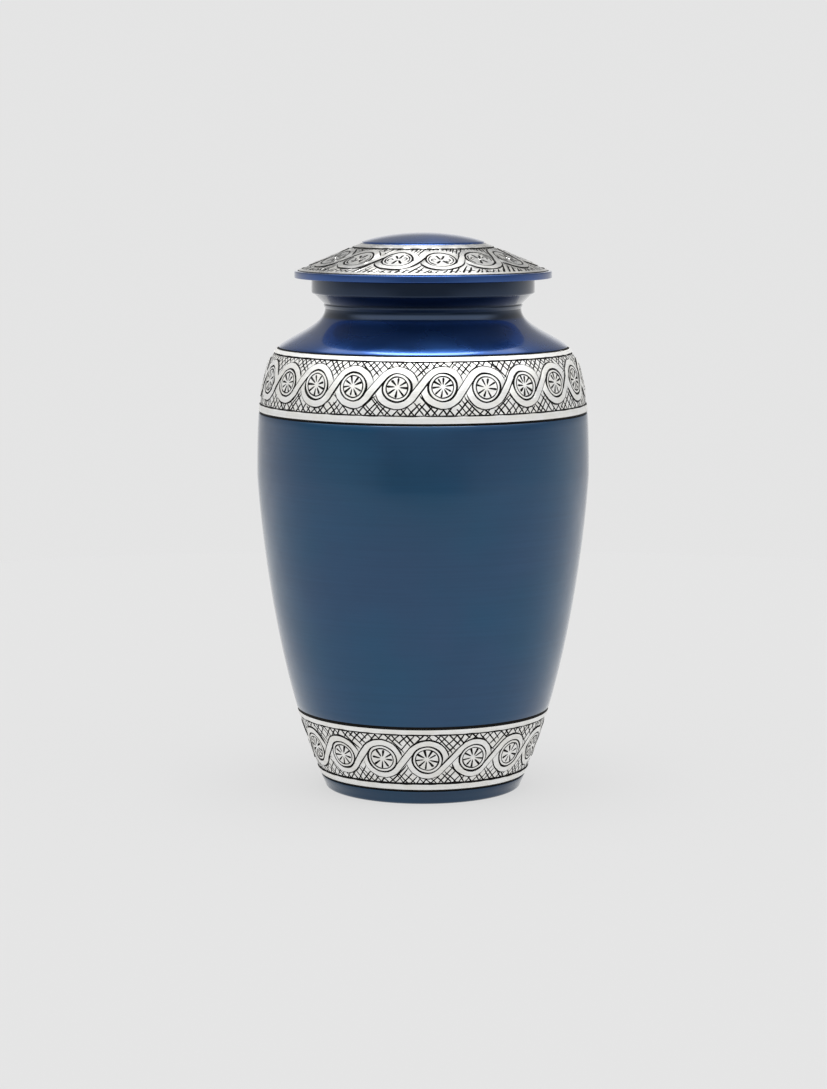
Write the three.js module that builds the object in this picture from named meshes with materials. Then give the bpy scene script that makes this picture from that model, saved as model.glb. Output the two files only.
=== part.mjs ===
// Funeral urn: a hollow metal vessel with a lift-off lid and three bands of running scroll.
// Millimetres, +Z up. The origin is the centre of the underside, and the front faces -Y.
//
// Each piece is one closed skin: rings of points, joined one after another, from the centre
// of its lower side, up its outside or inside, to the centre of the other end. A plain ring
// is a circle. On a band the rings follow the edges of the scroll.
import * as THREE from 'three';
import { mergeVertices } from 'three/addons/utils/BufferGeometryUtils.js';

// General dimensions
const WALL = 2;
const SEAT_GAP = 0.3;
const RELIEF = 0.8;

// Vessel outline: radius and height of each station, with the reach of its curve handles
const FOOT = { flat: 47.2, radius: 49.6, height: 1.8, flare: 0.46, reachUp: 66 };
const FOOT_CORNER = Math.PI / 4;
const BELLY = { radius: 83.2, height: 160, reachDown: 5, reachUp: 47 };
const SHOULDER = { radius: 72.9, height: 222.2, lean: -0.87, reachDown: 8.5, reachUp: 8 };
const NECK = { radius: 49, height: 242, reachDown: 9.1, top: 244.2, topRadius: 49.3, bore: 46.8 };
const COLLAR = {
  radius: 55.7, bottom: 249.5, top: 256.7, bevel: 54.4, bevelTop: 249.2, corner: 0.9, mouth: 0.5,
};

// Lid outline
const RIM = {
  radius: 64.2, bottom: COLLAR.top + SEAT_GAP, height: 3.4, corner: 0.8, ledge: 62.6, ledgeRise: 0.1,
};
const CONE = { outer: 62.2, foot: 260.9, inner: 31.2, top: 274, swell: 0.35, hollowTrim: 0.3 };
const DOME = { top: 279.4 };
const PLUG = { radius: 46.4, depth: 11.7, plate: 2, hollow: 58.2, hollowTop: 262.5 };

// Scroll bands: the heights of the band's edges and of its field, and the scroll's own sizes.
// turn is the azimuth of one roundel, in degrees from the front towards +X.
const BASE_BAND = {
  count: 16, turn: 2.1, bottom: 8.1, fieldBottom: 10.4, fieldTop: 38, top: 40.3,
  roundel: 7.3, ribbon: 3.3, stretch: 1,
};
const UPPER_BAND = {
  count: 23, turn: 7.3, bottom: 190.95, fieldBottom: 194.2, fieldTop: 220, top: 222.2,
  roundel: 7.2, ribbon: 3.4, stretch: 1,
};
const LID_BAND = {
  count: 14, turn: 12.5, bottom: 260.9, fieldBottom: 261.5, fieldTop: 272.4, top: 274,
  roundel: 7.2, ribbon: 3.3, stretch: 1.1,
};

// Fineness of the faceting
const FACETS_PER_REPEAT = 3;
const BODY_FACETS = BASE_BAND.count * FACETS_PER_REPEAT;
const LID_FACETS = LID_BAND.count * FACETS_PER_REPEAT;
const RING_STEPS = 5;
const EDGE_STEPS = 4;
const BELLY_STEPS = 7;
const THROAT_STEPS = 6;
const INSIDE_HEIGHTS = [239.5, 233, 226, 216, 196, 160, 115, 75, 40, 6];
const CURVE_POINTS = 200;
const SNAP = 1e4;

const ENAMEL = { color: 0x24456b, metalness: 0.55, roughness: 0.3 };

function vector(angle, radius, height) {
  const snap = (value) => Math.round(value * SNAP) / SNAP;
  return new THREE.Vector3(
    snap(radius * Math.sin(angle)), snap(-radius * Math.cos(angle)), snap(height));
}

function circle(radius, height, count) {
  if (radius === 0) {
    return [vector(0, 0, height)];
  }
  return Array.from({ length: count }, (_, i) => vector((2 * Math.PI * i) / count, radius, height));
}

// Joins two rows of points with triangles, always across the shorter diagonal. Both rows run
// the same way, and seen from outside the second one lies to the left of the first.
function join(first, second, closed, triangles) {
  const firstSteps = closed && first.length > 1 ? first.length : first.length - 1;
  const secondSteps = closed && second.length > 1 ? second.length : second.length - 1;
  const start = closed ? nearest(first[0], second) : 0;
  const a = (i) => first[i % first.length];
  const b = (j) => second[(start + j) % second.length];
  let i = 0;
  let j = 0;
  while (i < firstSteps || j < secondSteps) {
    const acrossFirst = i < firstSteps ? a(i + 1).distanceTo(b(j)) : Infinity;
    const acrossSecond = j < secondSteps ? a(i).distanceTo(b(j + 1)) : Infinity;
    if (acrossFirst < acrossSecond) {
      triangles.push([a(i), a(i + 1), b(j)]);
      i += 1;
    } else {
      triangles.push([a(i), b(j + 1), b(j)]);
      j += 1;
    }
  }
}

function nearest(point, ring) {
  const distances = ring.map((other) => other.distanceTo(point));
  return distances.indexOf(Math.min(...distances));
}

function joinRings(rings, triangles) {
  for (let i = 1; i < rings.length; i += 1) {
    join(rings[i - 1], rings[i], true, triangles);
  }
}

// A curve through part of a section, as a function of height
function outlineOf(curves) {
  const points = curves.flatMap((curve, i) => curve.getPoints(CURVE_POINTS).slice(i === 0 ? 0 : 1));
  const lengths = [0];
  for (let i = 1; i < points.length; i += 1) {
    lengths.push(lengths[i - 1] + points[i].distanceTo(points[i - 1]));
  }
  const lookUp = (keys, values, key) => {
    const last = keys.length - 1;
    const found = keys.findIndex((value) => value >= key);
    const i = THREE.MathUtils.clamp(found < 0 ? last : found, 1, last);
    const share = (key - keys[i - 1]) / (keys[i] - keys[i - 1]);
    return THREE.MathUtils.lerp(values[i - 1], values[i], share);
  };
  const heights = points.map((point) => point.y);
  const radii = points.map((point) => point.x);
  return {
    radiusAt: (height) => lookUp(heights, radii, height),
    lengthAt: (height) => lookUp(heights, lengths, height),
    heightAt: (length) => lookUp(lengths, heights, length),
  };
}

// The outward normal of an outline, as its radial and vertical parts
function normalAt(outline, height) {
  const reach = 0.2;
  const run = outline.radiusAt(height + reach) - outline.radiusAt(height - reach);
  return new THREE.Vector2(2 * reach, -run).normalize();
}

function bodyOutline() {
  const point = (radius, height) => new THREE.Vector2(radius, height);
  const along = (lean, reach) => point(lean, 1).normalize().multiplyScalar(reach);
  const foot = point(FOOT.radius, FOOT.height);
  const belly = point(BELLY.radius, BELLY.height);
  const shoulder = point(SHOULDER.radius, SHOULDER.height);
  const neck = point(NECK.radius, NECK.height);
  const flank = new THREE.CubicBezierCurve(
    foot,
    foot.clone().add(along(FOOT.flare, FOOT.reachUp)),
    belly.clone().sub(along(0, BELLY.reachDown)),
    belly);
  const upperFlank = new THREE.CubicBezierCurve(
    belly,
    belly.clone().add(along(0, BELLY.reachUp)),
    shoulder.clone().sub(along(SHOULDER.lean, SHOULDER.reachDown)),
    shoulder);
  const throat = new THREE.CubicBezierCurve(
    shoulder,
    shoulder.clone().add(along(SHOULDER.lean, SHOULDER.reachUp)),
    neck.clone().sub(along(0, NECK.reachDown)),
    neck);
  return outlineOf([flank, upperFlank, throat]);
}

function lidOutline() {
  const foot = new THREE.Vector2(CONE.outer, CONE.foot);
  const top = new THREE.Vector2(CONE.inner, CONE.top);
  const middle = foot.clone().add(top).multiplyScalar(0.5);
  middle.y += 2 * CONE.swell;
  return outlineOf([new THREE.QuadraticBezierCurve(foot, middle, top)]);
}

// A point of the band's flat pattern, x to the right and y up from the row of roundels,
// laid on the outline and sunk below it by depth
function patternPlacer(outline, band) {
  const middle = (outline.lengthAt(band.fieldBottom) + outline.lengthAt(band.fieldTop)) / 2;
  const turn = THREE.MathUtils.degToRad(band.turn);
  const pitch = (2 * Math.PI * outline.radiusAt(outline.heightAt(middle))) / band.count;
  return {
    pitch,
    place: (x, y, depth) => {
      const height = outline.heightAt(middle + y);
      const normal = normalAt(outline, height);
      const angle = turn + ((x / pitch) * 2 * Math.PI) / band.count;
      return vector(
        angle,
        outline.radiusAt(height) - depth * normal.x,
        height - depth * normal.y);
    },
    edgeRing: (height, depth) => {
      const count = band.count * FACETS_PER_REPEAT;
      const y = outline.lengthAt(height) - middle;
      return Array.from({ length: count }, (_, i) => ({ x: (i * pitch) / FACETS_PER_REPEAT, y, depth }));
    },
  };
}

function arc(centreX, radius, from, to, steps) {
  return Array.from({ length: steps + 1 }, (_, i) => {
    const angle = from + ((to - from) * i) / steps;
    return { x: centreX + radius * Math.cos(angle), y: radius * Math.sin(angle), depth: 0 };
  });
}

// The running scroll. A ribbon comes from behind the one before it, goes round under its
// roundel, climbs to the next one, goes over that and ends behind the ribbon after it.
// The ribbons stand proud of the field, and their ends dip to it where they pass behind.
// Each roundel is a shallow dish.
function scrollBand(outline, band, triangles) {
  const { pitch, place, edgeRing } = patternPlacer(outline, band);
  const inner = band.roundel;
  const outer = band.roundel + band.ribbon;
  const slant = Math.acos((inner + outer) / pitch);
  const crossing = Math.acos(inner / outer) - slant;
  const cross = { x: outer * Math.cos(crossing), y: outer * Math.sin(crossing), depth: 0 };
  const opposite = { x: pitch - cross.x, y: -cross.y, depth: 0 };
  const low = (point) => ({ ...point, depth: RELIEF });
  const lay = (points, shift = 0) => points.map(
    (point) => place(point.x + shift, point.y * band.stretch, point.depth));
  const ring = (points) => Array.from(
    { length: band.count }, (_, k) => lay(points, k * pitch)).flat();
  const edge = (height, depth) => edgeRing(height, depth).map(
    (point) => place(point.x, point.y, point.depth));

  const overTop = arc(0, outer, Math.PI - slant, crossing, EDGE_STEPS);
  const underSide = arc(0, outer, Math.PI + crossing, 2 * Math.PI - slant, EDGE_STEPS);
  const topEnd = overTop.slice(0, -1);
  const bottomStart = underSide.slice(1);
  const roundel = [
    ...arc(0, inner, Math.PI - slant, 2 * Math.PI - slant, RING_STEPS).slice(0, -1),
    ...arc(0, inner, -slant, Math.PI - slant, RING_STEPS).slice(0, -1),
  ];
  const hub = [{ x: 0, y: 0, depth: RELIEF }];

  joinRings([
    edge(band.bottom, 0),
    edge(band.fieldBottom, 0),
    edge(band.fieldBottom, RELIEF),
    ring(underSide.map(low)),
    ring([low(underSide[0]), ...bottomStart, opposite]),
  ], triangles);
  const left = [
    ...arc(0, inner, Math.PI - slant, 2 * Math.PI - slant, RING_STEPS),
    cross,
    ...topEnd.map((point) => ({ ...point, x: point.x + pitch })),
    low({ ...cross, x: cross.x + pitch }),
  ];
  const right = [
    low(underSide[0]),
    ...bottomStart,
    opposite,
    ...arc(pitch, inner, Math.PI - slant, -slant, RING_STEPS),
  ];
  const behindTop = [roundel[RING_STEPS], cross, low(cross)];
  const behindBottom = [{ ...roundel[0], x: roundel[0].x + pitch }, opposite, low(opposite)];
  for (let k = 0; k < band.count; k += 1) {
    const shift = k * pitch;
    join(lay(right, shift), lay(left, shift), false, triangles);
    triangles.push(lay(behindTop, shift), lay(behindBottom, shift));
    join(lay(roundel, shift), lay(hub, shift), true, triangles);
  }
  joinRings([
    ring([...topEnd, low(cross), cross]),
    ring([...topEnd, cross].map(low)),
    edge(band.fieldTop, RELIEF),
    edge(band.fieldTop, 0),
    edge(band.top, 0),
  ], triangles);
  return { first: edge(band.bottom, 0), last: edge(band.top, 0) };
}

// Rings on the outline between two heights, without the end ones
function ringsBetween(outline, from, to, steps, count) {
  return Array.from({ length: steps - 1 }, (_, i) => {
    const height = from + ((to - from) * (i + 1)) / steps;
    return circle(outline.radiusAt(height), height, count);
  });
}

function closedGeometry(triangles) {
  const soup = new THREE.BufferGeometry();
  const positions = triangles.flat().flatMap((point) => point.toArray());
  soup.setAttribute('position', new THREE.Float32BufferAttribute(positions, 3));
  const merged = mergeVertices(soup, 0.5 / SNAP);
  const index = Array.from(merged.index.array);
  const kept = [];
  for (let i = 0; i < index.length; i += 3) {
    const [a, b, c] = index.slice(i, i + 3);
    if (a !== b && b !== c && c !== a) {
      kept.push(a, b, c);
    }
  }
  merged.setIndex(kept);
  merged.computeVertexNormals();
  return merged;
}

function enamelled(name, triangles) {
  const mesh = new THREE.Mesh(closedGeometry(triangles), new THREE.MeshStandardMaterial(ENAMEL));
  mesh.name = name;
  return mesh;
}

function vessel() {
  const outline = bodyOutline();
  const triangles = [];
  const round = (radius, height) => circle(radius, height, BODY_FACETS);
  const baseBand = scrollBand(outline, BASE_BAND, triangles);
  const upperBand = scrollBand(outline, UPPER_BAND, triangles);

  const foot = [
    circle(0, 0, 1),
    round(FOOT.flat, 0),
    round(
      FOOT.flat + (FOOT.radius - FOOT.flat) * Math.sin(FOOT_CORNER),
      FOOT.height * (1 - Math.cos(FOOT_CORNER))),
    round(FOOT.radius, FOOT.height),
    baseBand.first,
  ];
  const belly = [
    baseBand.last,
    ...ringsBetween(outline, BASE_BAND.top, UPPER_BAND.bottom, BELLY_STEPS, BODY_FACETS),
    upperBand.first,
  ];
  const collarSide = COLLAR.bottom + COLLAR.corner;
  const throat = [
    upperBand.last,
    ...ringsBetween(outline, UPPER_BAND.top, NECK.height, THROAT_STEPS, BODY_FACETS),
    round(NECK.radius, NECK.height),
    round(NECK.topRadius, NECK.top),
    round(COLLAR.bevel, COLLAR.bevelTop),
    round(COLLAR.radius - COLLAR.corner, COLLAR.bottom),
    round(COLLAR.radius, collarSide),
    round(COLLAR.radius, COLLAR.top - COLLAR.mouth),
    round(COLLAR.radius - COLLAR.mouth, COLLAR.top),
  ];
  const insideAt = (height) => {
    const normal = normalAt(outline, height);
    return Math.max(NECK.bore, outline.radiusAt(height) - WALL / normal.x);
  };
  const inside = [
    throat.at(-1),
    round(NECK.bore + COLLAR.mouth, COLLAR.top),
    round(NECK.bore, COLLAR.top - COLLAR.mouth),
    ...INSIDE_HEIGHTS.map((height) => round(insideAt(height), height)),
    round(FOOT.flat - FOOT.height, WALL),
    circle(0, WALL, 1),
  ];
  [foot, belly, throat, inside].forEach((rings) => joinRings(rings, triangles));
  return enamelled('urn_body', triangles);
}

// The dome's height over its edge, as an arc of a circle
function domeHeight(radius, rise) {
  const sphere = (CONE.inner ** 2 + rise ** 2) / (2 * rise);
  return CONE.top + rise - sphere + Math.sqrt(sphere ** 2 - radius ** 2);
}

function lid() {
  const outline = lidOutline();
  const triangles = [];
  const round = (radius, height) => circle(radius, height, LID_FACETS);
  const band = scrollBand(outline, LID_BAND, triangles);
  const domeRise = DOME.top - CONE.top;
  const domeRing = (share, drop) => {
    const radius = CONE.inner * share;
    return circle(radius, domeHeight(radius, domeRise) - drop, LID_FACETS);
  };
  const under = (height) => {
    const normal = normalAt(outline, height);
    return round(outline.radiusAt(height) - WALL * normal.x, height - WALL * normal.y);
  };
  const plateTop = RIM.bottom + PLUG.plate;
  const plugBottom = RIM.bottom - PLUG.depth;
  const rimTop = RIM.bottom + RIM.height;
  const below = [
    circle(0, DOME.top - WALL, 1),
    domeRing(0.5, WALL),
    under(CONE.top - CONE.hollowTrim),
    under((CONE.top + CONE.foot) / 2),
    under(PLUG.hollowTop),
    round(PLUG.hollow, plateTop),
    round(PLUG.radius - WALL, plateTop),
    round(PLUG.radius - WALL, plugBottom),
    round(PLUG.radius, plugBottom),
    round(PLUG.radius, RIM.bottom),
    round(RIM.radius - RIM.corner, RIM.bottom),
    round(RIM.radius, RIM.bottom + RIM.corner),
    round(RIM.radius, rimTop - RIM.corner),
    round(RIM.radius - RIM.corner, rimTop),
    round(RIM.ledge, rimTop + RIM.ledgeRise),
    band.first,
  ];
  const dome = [
    band.last,
    domeRing(0.8, 0),
    domeRing(0.5, 0),
    circle(0, DOME.top, 1),
  ];
  [below, dome].forEach((rings) => joinRings(rings, triangles));
  return enamelled('urn_lid', triangles);
}

const urn = new THREE.Group();
urn.add(vessel(), lid());

export default urn;
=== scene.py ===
import math
import random

import bmesh
import bpy
import numpy as np
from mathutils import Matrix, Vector
from mathutils.geometry import delaunay_2d_cdt


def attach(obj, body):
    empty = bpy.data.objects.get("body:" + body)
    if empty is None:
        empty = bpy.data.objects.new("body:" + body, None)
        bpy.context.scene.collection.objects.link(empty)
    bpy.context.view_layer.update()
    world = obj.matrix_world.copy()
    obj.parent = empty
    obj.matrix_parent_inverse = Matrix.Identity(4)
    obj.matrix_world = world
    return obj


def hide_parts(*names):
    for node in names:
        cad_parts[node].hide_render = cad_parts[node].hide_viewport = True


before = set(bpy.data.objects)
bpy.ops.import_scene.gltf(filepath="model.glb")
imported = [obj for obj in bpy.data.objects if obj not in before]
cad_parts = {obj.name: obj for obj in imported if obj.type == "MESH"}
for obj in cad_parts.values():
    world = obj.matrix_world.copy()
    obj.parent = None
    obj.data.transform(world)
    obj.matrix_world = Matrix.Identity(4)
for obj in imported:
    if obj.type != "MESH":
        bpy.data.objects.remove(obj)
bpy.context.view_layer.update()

MM = 0.001
WALL = 2.0
SEAT_GAP = 0.3

# Sections: radius and height of each station, with the reach of its curve handles
FOOT = dict(flat=47.2, radius=49.6, height=1.8, flare=0.46, reach_up=66, inside_corner=1)
BELLY = dict(radius=83.2, height=160, reach_down=5, reach_up=47)
SHOULDER = dict(radius=72.9, height=222.2, lean=-0.87, reach_down=8.5, reach_up=8)
NECK = dict(radius=49, height=242, reach_down=9.1, top=244.2, top_radius=49.3, bore=46.8)
COLLAR = dict(radius=55.7, bottom=249.5, top=256.7, bevel=54.4, bevel_top=249.2, corner=0.9, mouth=0.5)
RIM = dict(radius=64.2, bottom=COLLAR["top"] + SEAT_GAP, height=3.4, corner=0.8, ledge=63.2,
           ledge_rise=0.1, ledge_corner=0.2)
CONE = dict(outer=62.2, foot=260.9, inner=31.2, top=274, swell=0.35, run_on=0.06, hollow_drop=0.3)
DOME = dict(top=279.4, edge=0.5, power=0.85, hollow_share=0.8)
PLUG = dict(radius=46.4, depth=11.7, plate=2, hollow=58.2, hollow_top=262.5,
            corner=0.5, mouth=0.4, edge=0.6)

# Bands: heights of the edges and of the field, and the sizes of the scroll
BASE_BAND = dict(
    name="base_band", count=16, turn=2.1, bottom=8.1, field_bottom=11.3, field_top=37.2, top=39.95,
    roundel=7.3, ribbon=3.4, stretch=1.0, raised=0.0, groove=1.4, border=0.5, rows=4,
)
UPPER_BAND = dict(
    name="upper_band", count=23, turn=6.5, bottom=191.2, field_bottom=194.8, field_top=220.1, top=222.1,
    roundel=6.95, ribbon=3.65, stretch=1.0, raised=0.3, groove=1.1, border=0.36, rows=4,
)
LID_BAND = dict(
    name="lid_band", count=14, turn=10.3, bottom=260.9, field_bottom=261.8, field_top=272.4, top=274,
    roundel=7.4, ribbon=3.3, stretch=1.04, raised=1.0, groove=0.35, border=0.33, rows=3,
)

# Seats of the bands, with the lip beside them as shares of its width and depths
CHANNEL = 1.1
BACK_GAP = 0.08
SIDE_GAP = 0.08
LIP = 0.45
LIP_CURVE = ((1, 0), (0.45, 0.07), (0.12, 0.2), (0, LIP))
BEAD = 0.45

# Relief and engraved lines: depths, half widths, lengths, and the ranges that they vary in
FIELD_DEPTH = 0.45
DISH = dict(depth=0.25, spread=1.3)
TAIL_REACH = 3.0
GROOVE_DEPTH = 0.5
CUT_SLOPE = 0.9
OUTLINE_HALF = 0.34
UNEVEN = 0.3
TIP_SHARE = 0.12
ANY_TURN = 6.3
STRAY = dict(waves=((5, 0.16), (11, 0.2), (17, 0.16)), repeat_waves=((2, 0.08), (5, 0.05)),
             shift_drift=0.12, lift_drift=0.1, fade=2.5)
TAPER = dict(bow=0.04, ends=0.14, blunt=0.5, thinnest=0.75)
WHEEL = dict(
    rim=(1, 0.45, 0.3), ring=(0.765, 0.32, 0.25), spokes=(8, 9, 9, 10), off_centre=0.25, sway=0.14,
    start=(0.8, 1.3), short_by=(-0.1, -0.1, 0.5), half=(0.46, 0.7), narrow=0.6, narrow_reach=1.0, point=0.7,
)
FLOWER = dict(
    ring=0.34, swell=0.24, swell_turns=((2.6, 3.6), (-0.4, 0.4)), thin=0.36, sway=0.3,
    arc_share=0.8, arc_spread=(0.7, 1.1),
    curl=(1.25, 1.6), curl_place=3.5, curl_turn=(3.8, 4.8), curl_end=0.45, curl_rise=1.15,
    petal_turns=(1.1, 2.05, 4.25, 5.3), petal_sway=0.16, petal_start=(0.7, 1.0), petal_end=(4.6, 5.4),
    petal_half=(0.6, 0.8), petal_blunt=(0.3, 0.8), petal_reach=0.6, petal_point=0.7,
)
HATCHING = dict(spacing=3.7, slant=0.72, sway=0.07, half=(0.31, 0.43), shortest=0.5, overrun=0.25,
                broken=0.12, broken_length=(0.6, 0.85))
LADDER = dict(
    spacing=2.6, slant=0.5, sway=0.12, half=(0.42, 0.62), shortest=1.2, length=(0.75, 1), overrun=0.2,
    thinning=0.4, rung_from=3.5, rung_share=0.75, rung_place=(0.35, 0.65), rung=(1.4, 2.2), rung_half=0.34,
)
PLACE_IN_STEP = (0.3, 0.7)
BORDER_OVERLAP = 0.1
BORDER_LINE = dict(waves=29, swell=0.16, fine_waves=53, fine_swell=0.12)

# Fineness of the meshes
CURVE_POINTS = 400
SEGMENTS = 240
FILLET_STEPS = 6
LONGEST_FILLET = 0.45
UNDERSIDE_RINGS = (0, 12, 24, 36, 43)
FOOT_STEP = 1.5
BELLY_STEP = 3.0
SHOULDER_STEP = 1.0
INSIDE_ROWS = 50
UNDER_CONE_ROWS = 8
DOME_ROWS = 24
CHANNEL_ROWS = 10
BACK_ROWS = 8
GRID_COLUMNS = 12
GRID_PITCH = 2.2
RING_POINTS = 30
CURL_POINTS = 12
ARC_STEP = 0.2
CUT_TOLERANCE = 1e-5
MERGE = 4e-6
SHARP_ANGLE = 24
LAYOUT_MARGIN = 0.04
BACK_LAYOUT = 0.008

# Finish: colours as linear values, patterns as scale and detail, and how strongly they show
MOST_OF_NOISE = (0.3, 0.7)
ENAMEL = dict(metallic=0.9, coat_ior=1.36, coat_roughness=0.07, clouds=(17.0, 2.5), marks=900.0,
              streaks=0.92, shine=(45.0, 3.0), dullest=0.05, glossiest=-0.04, relief=0.15)
# The foot's enamel is painted darker than the body's: painted shade where the urn meets the floor, the same
# enamel as the body.
FOOT_PAINTED_SHADE = dict(first=(0.011, 0.052, 0.108), second=(0.017, 0.048, 0.102), roughness=0.42)
BODY_FINISH = dict(first=(0.013, 0.079, 0.168), second=(0.022, 0.073, 0.162), roughness=0.42)
DEEP_FINISH = dict(first=(0.020, 0.078, 0.280), second=(0.027, 0.092, 0.305), roughness=0.26)
NECK_FINISH = dict(first=(0.006, 0.024, 0.060), second=(0.010, 0.026, 0.064), roughness=0.2)
ZONE_BLEND = 0.8
NECK_FROM = 237.6
MARK_LENGTH = 14.0
MARK_DETAIL = (4.0, 0.6)
RELIEF_DEPTH = 0.00002
NICKEL = dict(marks=1400.0, streaks=0.9, streaks_at=(0.25, 0.6), clouds=(120.0, 4.0, 0.6),
              tarnish=(0.93, 0.92, 0.88), warmth=0.985, clean_at=(0.35, 0.62),
              dullest=0.06, glossiest=-0.04, grain=(2200.0, 2.0), relief=0.3)
OXIDE = dict(specular=0.12, clouds=(900.0, 3.0), first=(0.002, 0.002, 0.002), second=(0.014, 0.013, 0.011),
             second_at=(0.4, 0.75), roughness=(0.5, 0.75), relief=0.4, relief_depth=0.00003)
FLOOR = dict(radius=0.9, sides=128, roughness=0.8, shade=0.06, glow=0.648, dim_glow=0.25,
             fade_y=(-0.9, -0.5))
BACKGROUND = 0.78

# Light, by the direction that it comes from
LIGHT = dict(front_low=0.04, front_high=1.4, behind=0.85, back_low=0.29, back_high=1.6, overhead=9.0,
             camera_side=0.3, sides=0.12)

# Where one light turns into another, by the x (without its sign), y or z of its direction, which
# has length one. The box overhead goes by x and y divided by z.
SKY = dict(
    front_z=(0.12, 0.45), ahead_y=(-0.2, 0.3), behind_x=(0.15, 0.4), behind_z=(0.1, 0.35),
    back_z=(0.66, 0.76), horizon_z=(-0.25, 0.2), sides_x=(0.6, 0.95), sides_z=(0.1, 0.4),
    camera_x=(0.3, 0.7), camera_y=(-0.7, -0.3), camera_bottom_z=(-0.3, -0.15), camera_top_z=(0.1, 0.3),
    box_x=(0.3, 0.36), box_front=(-0.42, -0.36), box_back=(0.3, 0.36), least_z=0.01,
)

# Camera, from the photograph's frame of 827 by 1089
PHOTO_HEIGHT = 1089
SENSOR = 36
CAMERA = dict(place=(-0.0048, -1.5019, 0.3199), down=7.473, focal_pixels=3007, clip_start=0.05)


def unit(lean, rise):
    return np.array([lean, rise]) / math.hypot(lean, rise)


def bezier(*points, beyond=0):
    """Points along a curve, which may run on a little beyond both ends."""
    t = np.linspace(-beyond, 1 + beyond, CURVE_POINTS)[:, None]
    order = len(points) - 1
    return sum(
        math.comb(order, i) * (1 - t) ** (order - i) * t**i * np.array(point, float)
        for i, point in enumerate(points)
    )


class Outline:
    """A stretch of a section whose height always grows, read by height or by length along it."""

    def __init__(self, *curves):
        points = np.vstack([curves[0], *[curve[1:] for curve in curves[1:]]])
        steps = np.hypot(*np.diff(points, axis=0).T)
        self.lengths = np.concatenate([[0], np.cumsum(steps)])
        self.radii, self.heights = points.T

    def length_at(self, height):
        return np.interp(height, self.heights, self.lengths)

    def point_at(self, length):
        return np.stack(
            [np.interp(length, self.lengths, self.radii), np.interp(length, self.lengths, self.heights)], -1
        )

    def normal_at(self, length, reach=0.2):
        along = self.point_at(np.asarray(length) + reach) - self.point_at(np.asarray(length) - reach)
        along /= np.linalg.norm(along, axis=-1, keepdims=True)
        return np.stack([along[..., 1], -along[..., 0]], -1)

    def sunk(self, length, depth):
        return self.point_at(length) - self.normal_at(length) * np.asarray(depth)[..., None]


def body_outline():
    foot = np.array([FOOT["radius"], FOOT["height"]])
    belly = np.array([BELLY["radius"], BELLY["height"]])
    shoulder = np.array([SHOULDER["radius"], SHOULDER["height"]])
    neck = np.array([NECK["radius"], NECK["height"]])
    up = unit(0, 1)
    lean = unit(SHOULDER["lean"], 1)
    flare = unit(FOOT["flare"], 1)
    return Outline(
        bezier(foot, foot + flare * FOOT["reach_up"], belly - up * BELLY["reach_down"], belly),
        bezier(belly, belly + up * BELLY["reach_up"], shoulder - lean * SHOULDER["reach_down"], shoulder),
        bezier(shoulder, shoulder + lean * SHOULDER["reach_up"], neck - up * NECK["reach_down"], neck),
    )


def lid_outline():
    foot = np.array([CONE["outer"], CONE["foot"]])
    top = np.array([CONE["inner"], CONE["top"]])
    middle = (foot + top) / 2 + unit(0, 1) * 2 * CONE["swell"]
    return Outline(bezier(foot, middle, top, beyond=CONE["run_on"]))


# Engraved bands

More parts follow.
